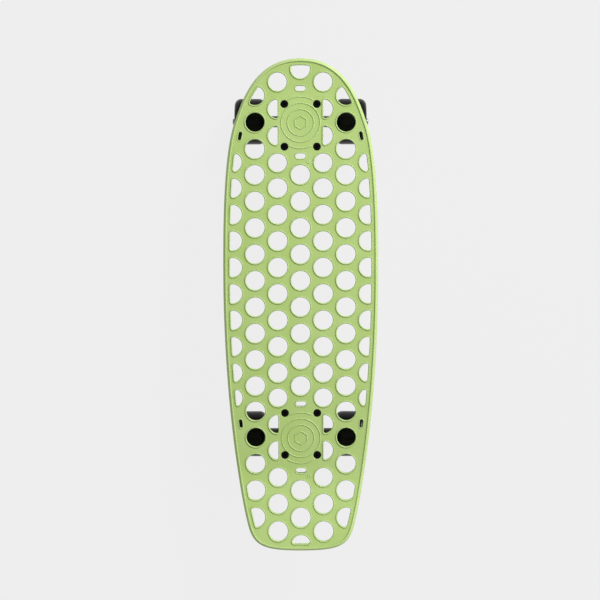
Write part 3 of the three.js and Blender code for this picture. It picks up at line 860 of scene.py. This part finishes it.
def under_faces(surface, outline, loops):
    """Ribs, skirt and blocks at full depth, the plate's underside between them, and the walls there."""
    outer = outline[0] - outline[1] * RIM[0][0]
    skirt = outline[0] - outline[1] * SKIRT_THICKNESS
    holes = profile_lines(loops, 0)
    cell_radius = (ROW_PITCH - RIB_THICKNESS) / math.sqrt(3)
    cells = []
    for x, y, _, beside in hole_centres():
        cell = circle(x, y, cell_radius, 6, math.pi / 6)[0]
        cells.append(trimmed(cell, x, y, beside, outline, CELL_INSET, CELL_ZONE_HALF_WIDTH))
    pads = [pad_outline(end, sign) for end, sign in ENDS]
    lines = [(line, True) for line in (outer, skirt, *holes, *cells, *pads)]
    barred = profile_lines(loops, 0, BEND_POINT_CLEARANCE)
    points, triangles = triangulate(lines, bend_points(barred, skirt))
    middles = points[triangles].mean(axis=1)
    pocket = np.zeros(len(middles), dtype=bool)
    for cell in cells:
        pocket |= within(middles, cell)
    pocket &= within(middles, skirt)
    for pad in pads:
        pocket &= ~within(middles, pad)
    level = np.where(pocket, POCKET, FULL_DEPTH)
    for hole in holes:
        level[within(middles, hole)] = OPEN
    level[~within(middles, outer)] = OUTSIDE

    high = raised(points, -PLATE_THICKNESS)
    low = raised(points, -DECK_DEPTH)
    surface.add(high, triangles[level == POCKET].tolist())
    surface.add(low, triangles[level == FULL_DEPTH].tolist())

    owner = {}
    for index, triangle in enumerate(triangles):
        for a, b in zip(triangle, np.roll(triangle, -1)):
            owner.setdefault((min(a, b), max(a, b)), []).append(index)
    walls = []
    for edge, sharing in owner.items():
        levels = sorted(level[i] for i in sharing)
        if levels[-1] == FULL_DEPTH and levels[0] in (OPEN, POCKET):
            walls.append(edge)
    n = len(points)
    surface.add(np.concatenate([high, low]), [[a, b, b + n, a + n] for a, b in walls])


def build_deck():
    outline = outline_curve(OUTLINE_STEPS)
    loops = [(loop, LIP) for loop in hole_loops(outline)]
    loops += [(loop, SLOT_LIP) for loop in slot_loops()]
    for _, x, y in bolt_places():
        loops.append((circle(x, y, BOLT_HEAD_RADIUS + BOLT_CLEARANCE, SEAT_STEPS), BOLT_SEAT))
    surface = Surface()
    points, normals = outline
    surface.strip([raised(points - normals * d, z) for d, z in RIM])
    for (points, normals), lip in loops:
        surface.strip([raised(points + normals * d, z) for d, z in lip])
    top_face(surface, outline, loops)
    under_faces(surface, outline, loops)
    deck = surface.make("deck_fine", sharp=50.0)
    finish_piece(deck, "deck", "board", ["deck"])


# ---- Fasteners ----

def threads(radius, pitch, low, high, depth):
    """Profile of a threaded stretch: a root and a flat crest for each turn."""
    root = radius - depth
    profile = []
    for k in range(int((high - low) / pitch)):
        z = low + k * pitch
        profile += [(root, z + 0.1 * pitch), (radius, z + 0.45 * pitch), (radius, z + 0.6 * pitch)]
    return profile


def nut_profile(across_flats, height, bore, collar):
    """Lock nut: bevelled hexagon with a round collar over its insert."""
    body = hexagon(across_flats)
    flat = across_flats / 2
    return [
        (bore, 0.4), (bore + 0.4, 0.0), (flat - 0.1, 0.0), (limited(body, flat * 1.06), 0.35),
        (limited(body, flat * 1.155), 0.9), (limited(body, flat * 1.155), height - collar - 0.7),
        (limited(body, flat * 1.05), height - collar - 0.2), (flat - 0.35, height - collar),
        (flat - 0.6, height - 0.7), (flat - 0.9, height - 0.2), (flat - 1.5, height),
        (bore + 0.5, height), (bore, height - 0.5), (bore, 0.4),
    ]


def build_deck_fasteners():
    socket = hexagon(3.2)
    head = BOLT_HEAD_RADIUS
    bolt = [
        (0, -2.6), (socket, -2.5), (socket, -0.35), (grown(socket, 0.25), -0.12),
        (grown(socket, 0.6), -0.1), (head - 0.7, -0.1), (head - 0.25, -0.16), (head, -0.4), (head, -0.6),
        (2.5, -2.9), (2.4, -14.0), *threads(2.4, 0.79, -25.0, -14.2, 0.3)[::-1],
        (2.0, -25.2), (1.4, -25.5), (0, -25.5),
    ]
    nut = nut_profile(9.5, 5.0, 2.45, 1.6)
    nut_top = UNDERSIDE_Z - TOUCH_GAP - BASEPLATE_THICKNESS - TOUCH_GAP
    for name, x, y in bolt_places():
        place = Matrix.Translation((x, y, TOP_Z))
        turned_piece(f"{name}_fine", bolt, 48, place, "hardware", "board", [name])
        nut_name = name.replace("bolt", "nut")
        below = Matrix.Translation((x, y, nut_top)) @ UPSIDE_DOWN
        turned_piece(f"{nut_name}_fine", nut, 48, below, "hardware", "board", [nut_name])


# ---- Trucks ----

def truck_frames(end, sign):
    """A truck's own frame, and frames with +Z up its kingpin, along its steering axis and its axle."""
    turn = Matrix.Rotation(0.0 if sign > 0 else math.pi, 4, "Z")
    place = Matrix.Translation((TRUCK_X[end], 0, UNDERSIDE_Z)) @ turn
    kingpin = place @ along(RING_CENTRE, KINGPIN_UP)
    steering = place @ along(RING_CENTRE, STEERING_AXIS)
    axle = place @ Matrix.Translation(Vector(AXLE_LOCAL)) @ TO_PLUS_Y
    return place, kingpin, steering, axle


THREAD_PITCH = 1.06


def capped(profile):
    """Closes a turned profile on the axis at both ends."""
    return [(0, profile[0][1]), *profile, (0, profile[-1][1])]


def mirrored(half):
    """A profile and its mirror image below height 0."""
    return half + [(radius, -height) for radius, height in half[::-1]]


def build_baseplate(end, place, kingpin, steering):
    solid = Surface()
    rear, front, side, rounding = -35.0, 41.0, 28.0, 7.0
    plan = []
    for corner, (x, y) in enumerate(((front, side), (rear, side), (rear, -side), (front, -side))):
        inner_x = x - math.copysign(rounding, x)
        inner_y = y - math.copysign(rounding, y)
        plan += arc(inner_x, inner_y, rounding, 90 * corner, 90 * corner + 90, 8)
    plan = np.array(plan)
    n = len(plan)
    rings = []
    for inset, z in ((0.6, -0.35), (0.0, -0.9), (0.0, -4.4), (0.7, -5.3)):
        shape = plan * (1 - inset / 30.0)
        rings.append(transformed(np.column_stack([shape, np.full(n, z)]), place))
    solid.strip(rings)
    solid.add(rings[0], [list(range(n))])
    solid.add(rings[-1], [list(range(n - 1, -1, -1))])
    solid.lathe(capped([(12.6, 17.2), (12.9, 18.0), (13.4, 33.0)]), 64, kingpin)
    solid.lathe(capped([(11.3, 39.9), (11.9, 40.5), (11.9, 51.0), (11.0, 53.2), (8.0, 54.2)]), 64, steering)
    solid.prism([(-22, -4.6), (-12, -13.5), (8, -14.5), (16, -12), (30, -14.5), (38, -4.6)], 8, place)
    for y in (-17.0, 17.0):
        web = [(-24, -4.6), (-10, -9.5), (14, -9.5), (32, -4.6)]
        solid.prism(web, 1.6, place @ Matrix.Translation((0, y, 0)))
    # everything above the plate's top is cut off, so that it lies flat under the deck
    above = Surface()
    above.prism([(-70, -TOUCH_GAP), (70, -TOUCH_GAP), (70, 30), (-70, 30)], 60, place)
    shaft = Surface()
    shaft.lathe(capped([(5.2, 5.0), (5.2, 30.2), (8.0, 30.2), (8.0, 60.0)]), 48, kingpin)
    socket = Surface()
    socket.lathe(capped([(8.35, 20.0), (8.35, 51.8)]), 48, steering)
    cutters = [above, shaft, socket]
    half_length, half_width = BOLT_PATTERN_HALF
    for x in (half_length, -half_length):
        for y in (half_width, -half_width):
            hole = Surface()
            hole.lathe(capped([(2.8, -9.0), (2.8, 3.0)]), 32, place @ Matrix.Translation((x, y, 0)))
            cutters.append(hole)
    obj = cast(f"{end}_baseplate_fine", solid, cutters)
    finish_piece(obj, "truck", "board", [f"{end}_baseplate"])


def build_hanger(end, place, kingpin, steering, axle):
    solid = Surface()
    barrel = [(6.6, 52.5), (7.4, 51.9), (7.4, 28.0), (7.75, 24.0), (8.4, 20.0), (8.75, 16.0)]
    solid.lathe(capped([(r, -h) for r, h in barrel] + barrel[::-1]), 64, axle)
    solid.lathe(capped([(14.9, -3.75), (15.5, -3.2), (15.5, 3.2), (14.9, 3.75)]), 96, kingpin)
    across = np.array([KINGPIN_UP[2], 0.0, -KINGPIN_UP[0]])

    def by_ring(over, up):
        """Side-view point by its distances across the kingpin and along it, from the ring's centre."""
        point = RING_CENTRE + across * over + KINGPIN_UP * up
        return (point[0], point[2])

    x, _, z = AXLE_LOCAL
    neck = [
        by_ring(5, 3.7), by_ring(15.5, 3.7), (x, z + 8.6),
        (x, z - 8.4), by_ring(15.5, -3.7), by_ring(5, -3.7),
    ]
    for half_width in (13.0, 9.0):
        solid.prism(neck, half_width, place)
    solid.prism([(3, -39.5), (12.3, -23), (16, -19.8), (20.8, -22.8), (15.5, -45), (8, -48)], 5.6, place)
    # webs that run out along the axle, each the hull of an upper face and its copy lower down
    for side in (1, -1):
        upper = np.array([
            (-5.5, 8, -44.5), (2.0, 8, -50.0), (x, 8, z + 8.2), (x, 25, z + 7.2), (x - 6.5, 25, z + 1.5),
        ])
        upper[:, 1] *= side
        hull = bmesh.new()
        for point in transformed(np.concatenate([upper, upper - (0, 0, 5.0)]), place):
            hull.verts.new(point)
        bmesh.ops.convex_hull(hull, input=hull.verts)
        hull.verts.index_update()
        solid.add([v.co[:] for v in hull.verts], [[v.index for v in f.verts] for f in hull.faces])
        hull.free()
    solid.lathe(capped([(5.3, 31.0), (5.25, 45.6), (4.4, 48.0), (2.6, 49.2)]), 48, steering)
    bore = Surface()
    bore.lathe(capped([(6.5, -6.0), (6.5, 6.0)]), 48, kingpin)
    obj = cast(f"{end}_hanger_fine", solid, [bore])
    finish_piece(obj, "truck", f"{end}_hanger", [f"{end}_hanger"])


def build_bushing(name, profile, kingpin):
    """A rubber bushing round the kingpin, given its material but attached to no body."""
    bushing = Surface()
    bushing.lathe(profile, 64, kingpin)
    obj = bushing.make(f"{name}_fine")
    dress(obj, "bushing", [name])
    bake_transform(obj)


def build_kingpin_set(end, kingpin, steering):
    body = hexagon(14.0)
    shaft = [
        (0, -21.7), (3.6, -21.7), (4.3, -21.2), *threads(4.6, THREAD_PITCH, -21.0, -2.0, 0.45),
        (4.75, -1.5), (4.75, 30.5), (limited(body, 7.0), 30.5), (limited(body, 7.3), 31.0),
        (limited(body, 7.3), 34.6), (limited(body, 6.8), 35.3), (5.5, 35.7), (0, 35.7),
    ]
    turned_piece(f"{end}_kingpin_fine", shaft, 48, kingpin, "zinc", "board", [f"{end}_kingpin"])

    boardside = [
        (5.7, 4.05), (10.4, 4.05), (11.5, 4.5), (11.95, 5.6), (12.0, 7.0), (12.0, 9.0), (12.0, 11.0),
        (12.0, 13.0), (11.95, 15.0), (11.4, 16.1), (10.4, 16.45), (5.2, 16.45), (5.3, 13.0), (5.4, 10.0),
        (5.55, 7.0), (5.7, 4.05),
    ]
    build_bushing(f"{end}_boardside_bushing", boardside, kingpin)
    roadside = [
        (5.6, -4.05), (10.3, -4.05), (11.2, -4.4), (11.5, -5.2), (11.2, -6.5), (10.7, -8.0), (10.1, -9.5),
        (9.65, -10.7), (9.2, -11.9), (8.6, -12.55), (7.8, -12.65), (5.2, -12.65), (5.3, -10.0),
        (5.45, -7.0), (5.6, -4.05),
    ]
    build_bushing(f"{end}_roadside_bushing", roadside, kingpin)

    washers = ((f"{end}_boardside_washer", 16.75, 1, 12.0), (f"{end}_roadside_washer", -12.95, -1, 9.5))
    for name, start, way, radius in washers:
        back = start + way * 1.2
        washer = [
            (5.2, start), (radius - 0.9, start), (radius - 0.35, start - way * 0.5),
            (radius, start - way * 0.45), (radius, start + way * 0.4), (radius - 0.5, start + way * 1.0),
            (radius - 1.1, back), (5.2, back), (5.2, start),
        ]
        turned_piece(f"{name}_fine", washer, 64, kingpin, "zinc", "board", [name])

    name = f"{end}_kingpin_nut"
    below = kingpin @ Matrix.Translation((0, 0, -14.45)) @ UPSIDE_DOWN
    turned_piece(f"{name}_fine", nut_profile(14.2, 6.2, 4.8, 1.8), 72, below, "zinc", "board", [name])

    cup = [
        (5.5, 39.5), (7.0, 39.1), (8.0, 39.5), (8.0, 51.3), (0, 51.3), (0, 49.5), (4.8, 49.5), (5.5, 48.8),
        (5.5, 39.5),
    ]
    turned_piece(f"{end}_pivot_cup_fine", cup, 48, steering, "cup", "board", [f"{end}_pivot_cup"])


def build_axle(end, axle):
    half = [
        (0, 88.0), (3.1, 88.0), (3.75, 87.4), *threads(3.95, THREAD_PITCH, 76.0, 87.2, 0.4)[::-1],
        (4.0, 75.5), (4.0, 0.0),
    ]
    turned_piece(f"{end}_axle_fine", mirrored(half), 48, axle, "steel", f"{end}_hanger", [f"{end}_axle"])


# ---- Wheels and bearings ----

def wheel_half():
    """Outside profile of half a wheel, from its bore to the middle of its tread."""
    half = 20.0
    radius = 29.5
    corner = 8.5
    tread_edge = arc(radius - corner, half - corner, corner, 88, 2, 14)
    return [
        (8.0, 0.0), (8.0, 4.6), (8.3, 4.85), (11.1, 4.85), (11.15, 5.1), (11.15, 11.6), (11.5, 12.0),
        (13.6, 12.0), (14.2, 12.15), (14.5, 12.6), (15.6, 15.9), (16.4, 18.0), (17.1, 19.3), (18.0, 19.9),
        (18.8, half), (19.6, half), (19.9, 19.75), (20.3, 19.75), (20.6, half), *tread_edge,
        (radius, 11.0), (radius, 0.0),
    ]


def build_bearing(name, body, spin):
    races = (("outer_race", 9.3, 11.0, [name]), ("inner_race", 4.05, 6.0, []))
    for part, inner, outer, replaced in races:
        race = [
            (inner + 0.2, -3.4), (outer - 0.4, -3.4), (outer, -3.0), (outer, 3.0), (outer - 0.4, 3.4),
            (inner + 0.2, 3.4), (inner, 3.2), (inner, -3.2), (inner + 0.2, -3.4),
        ]
        turned_piece(f"{name}_{part}", race, 64, spin, "steel", body, replaced)
    for part, way in (("outside", 1), ("inside", -1)):
        shield = [
            (6.05, way * 2.6), (6.2, way * 3.1), (7.0, way * 3.15), (7.3, way * 2.95), (8.0, way * 2.95),
            (8.3, way * 3.15), (9.1, way * 3.1), (9.28, way * 2.6), (6.05, way * 2.6),
        ]
        turned_piece(f"{name}_shield_{part}", shield, 64, spin, "shield", body)


def build_wheel_station(end, side, sign):
    """A wheel with its bearings, and what holds it on the axle."""
    station = f"{end}_{side}"
    body = f"{station}_wheel"
    hanger = f"{end}_hanger"
    at = centre(body) / MM
    spin = Matrix.Translation(at) @ TO_PLUS_Y
    turned_piece(f"{body}_fine", mirrored(wheel_half()), 120, spin, "wheel", body, [body], sharp=40)
    for which in ("inner", "outer"):
        bearing = f"{station}_{which}_bearing"
        build_bearing(bearing, body, Matrix.Translation(centre(bearing) / MM) @ TO_PLUS_Y)

    outward = Matrix.Translation(at) @ Matrix.Rotation(-sign * math.pi / 2, 4, "X")
    name = f"{station}_bearing_spacer"
    spacer = [(4.1, -4.7), (5.3, -4.7), (5.3, 4.7), (4.1, 4.7), (4.1, -4.7)]
    turned_piece(f"{name}_fine", spacer, 48, outward, "zinc", hanger, [name])

    name = f"{station}_axle_nut"
    nut = nut_profile(12.7, 7.5, 4.05, 2.3)
    nut_place = outward @ Matrix.Translation((0, 0, 13.1))
    turned_piece(f"{name}_fine", nut, 72, nut_place, "hardware", hanger, [name])

    for which, low in (("outer", 12.05), ("inner", -12.75)):
        high = low + 0.8
        ring = [
            (4.1, low), (5.9, low), (6.1, low + 0.2), (6.1, low + 0.6), (5.9, high), (4.1, high),
            (4.1, low),
        ]
        turned_piece(f"{station}_speed_ring_{which}", ring, 48, outward, "zinc", hanger)


# ---- Stage, lights and camera ----

FLOOR_GLOW = 0.83
FLOOR_REACH = 30.0
STUDIO_LIGHT = 0.38
LIGHT_TARGET = (0, 0, 0.08)


def build_stage():
    mesh = bpy.data.meshes.new("floor")
    corners = [(FLOOR_REACH * x, FLOOR_REACH * y, 0) for x, y in ((-1, -1), (1, -1), (1, 1), (-1, 1))]
    mesh.from_pydata(corners, [], [(0, 1, 2, 3)])
    floor = bpy.data.objects.new("floor", mesh)
    bpy.context.scene.collection.objects.link(floor)
    paint = Nodes(
        "pale_floor", Base_Color=(0.025, 0.025, 0.025, 1), Roughness=0.9, Specular_IOR_Level=0.0,
        Emission_Color=(1, 1, 1, 1), Emission_Strength=FLOOR_GLOW,
    )
    mesh.materials.append(paint.material)


def area_light(name, at, size, power):
    data = bpy.data.lights.new(name, "AREA")
    data.shape = "SQUARE"
    data.size = size
    data.energy = power
    light = bpy.data.objects.new(name, data)
    light.location = at
    light.rotation_euler = (Vector(LIGHT_TARGET) - Vector(at)).to_track_quat("-Z", "Y").to_euler()
    bpy.context.scene.collection.objects.link(light)


def build_lights():
    world = bpy.data.worlds.new("studio")
    world.use_nodes = True
    tree = world.node_tree
    light = tree.nodes["Background"]
    light.inputs["Color"].default_value = (1, 1, 1, 1)
    light.inputs["Strength"].default_value = STUDIO_LIGHT
    # past the floor's far edge the camera sees a backdrop as pale as the floor, which lights nothing
    backdrop = tree.nodes.new("ShaderNodeBackground")
    backdrop.inputs["Color"].default_value = (1, 1, 1, 1)
    backdrop.inputs["Strength"].default_value = FLOOR_GLOW
    rays = tree.nodes.new("ShaderNodeLightPath")
    choice = tree.nodes.new("ShaderNodeMixShader")
    tree.links.new(rays.outputs["Is Camera Ray"], choice.inputs[0])
    tree.links.new(light.outputs[0], choice.inputs[1])
    tree.links.new(backdrop.outputs[0], choice.inputs[2])
    tree.links.new(choice.outputs[0], tree.nodes["World Output"].inputs["Surface"])
    bpy.context.scene.world = world
    area_light("key", (1.9, -1.3, 1.6), 0.8, 68)
    area_light("side", (-0.1, -2.3, 1.3), 1.4, 26)


def build_camera():
    """The camera looks down, tilted a little, at a point just tailward of the hole pattern's middle."""
    distance = 2.5
    left, towards_tail = 0.0010, 0.02495
    tilt = math.radians(3.22)
    roll = math.radians(0.10)
    back = Vector((math.sin(tilt), 0, math.cos(tilt)))
    up = Vector((math.cos(tilt), 0, -math.sin(tilt)))
    right = Vector((0, -1, 0))
    turned_right = right * math.cos(roll) - up * math.sin(roll)
    turned_up = right * math.sin(roll) + up * math.cos(roll)
    pivot = Vector((PATTERN_MIDDLE_X, 0, TOP_Z)) * MM
    aim = pivot - turned_right * left - turned_up * towards_tail
    data = bpy.data.cameras.new("camera")
    data.sensor_width = 36.0
    data.lens = 117.65
    data.clip_start = 0.05
    data.clip_end = 50.0
    camera = bpy.data.objects.new("camera", data)
    place = Matrix((turned_right, turned_up, back)).transposed().to_4x4()
    place.translation = aim + back * distance
    camera.matrix_world = place
    bpy.context.scene.collection.objects.link(camera)
    bpy.context.scene.camera = camera


# ---- The scene ----

build_camera()
build_stage()
build_lights()
build_deck()
build_deck_fasteners()
for end, sign in ENDS:
    place, kingpin, steering, axle = truck_frames(end, sign)
    build_baseplate(end, place, kingpin, steering)
    build_hanger(end, place, kingpin, steering, axle)
    build_kingpin_set(end, kingpin, steering)
    build_axle(end, axle)
    for side, side_sign in SIDES:
        build_wheel_station(end, side, side_sign)

scene = bpy.context.scene
scene.view_settings.view_transform = "Standard"
scene.view_settings.look = "None"
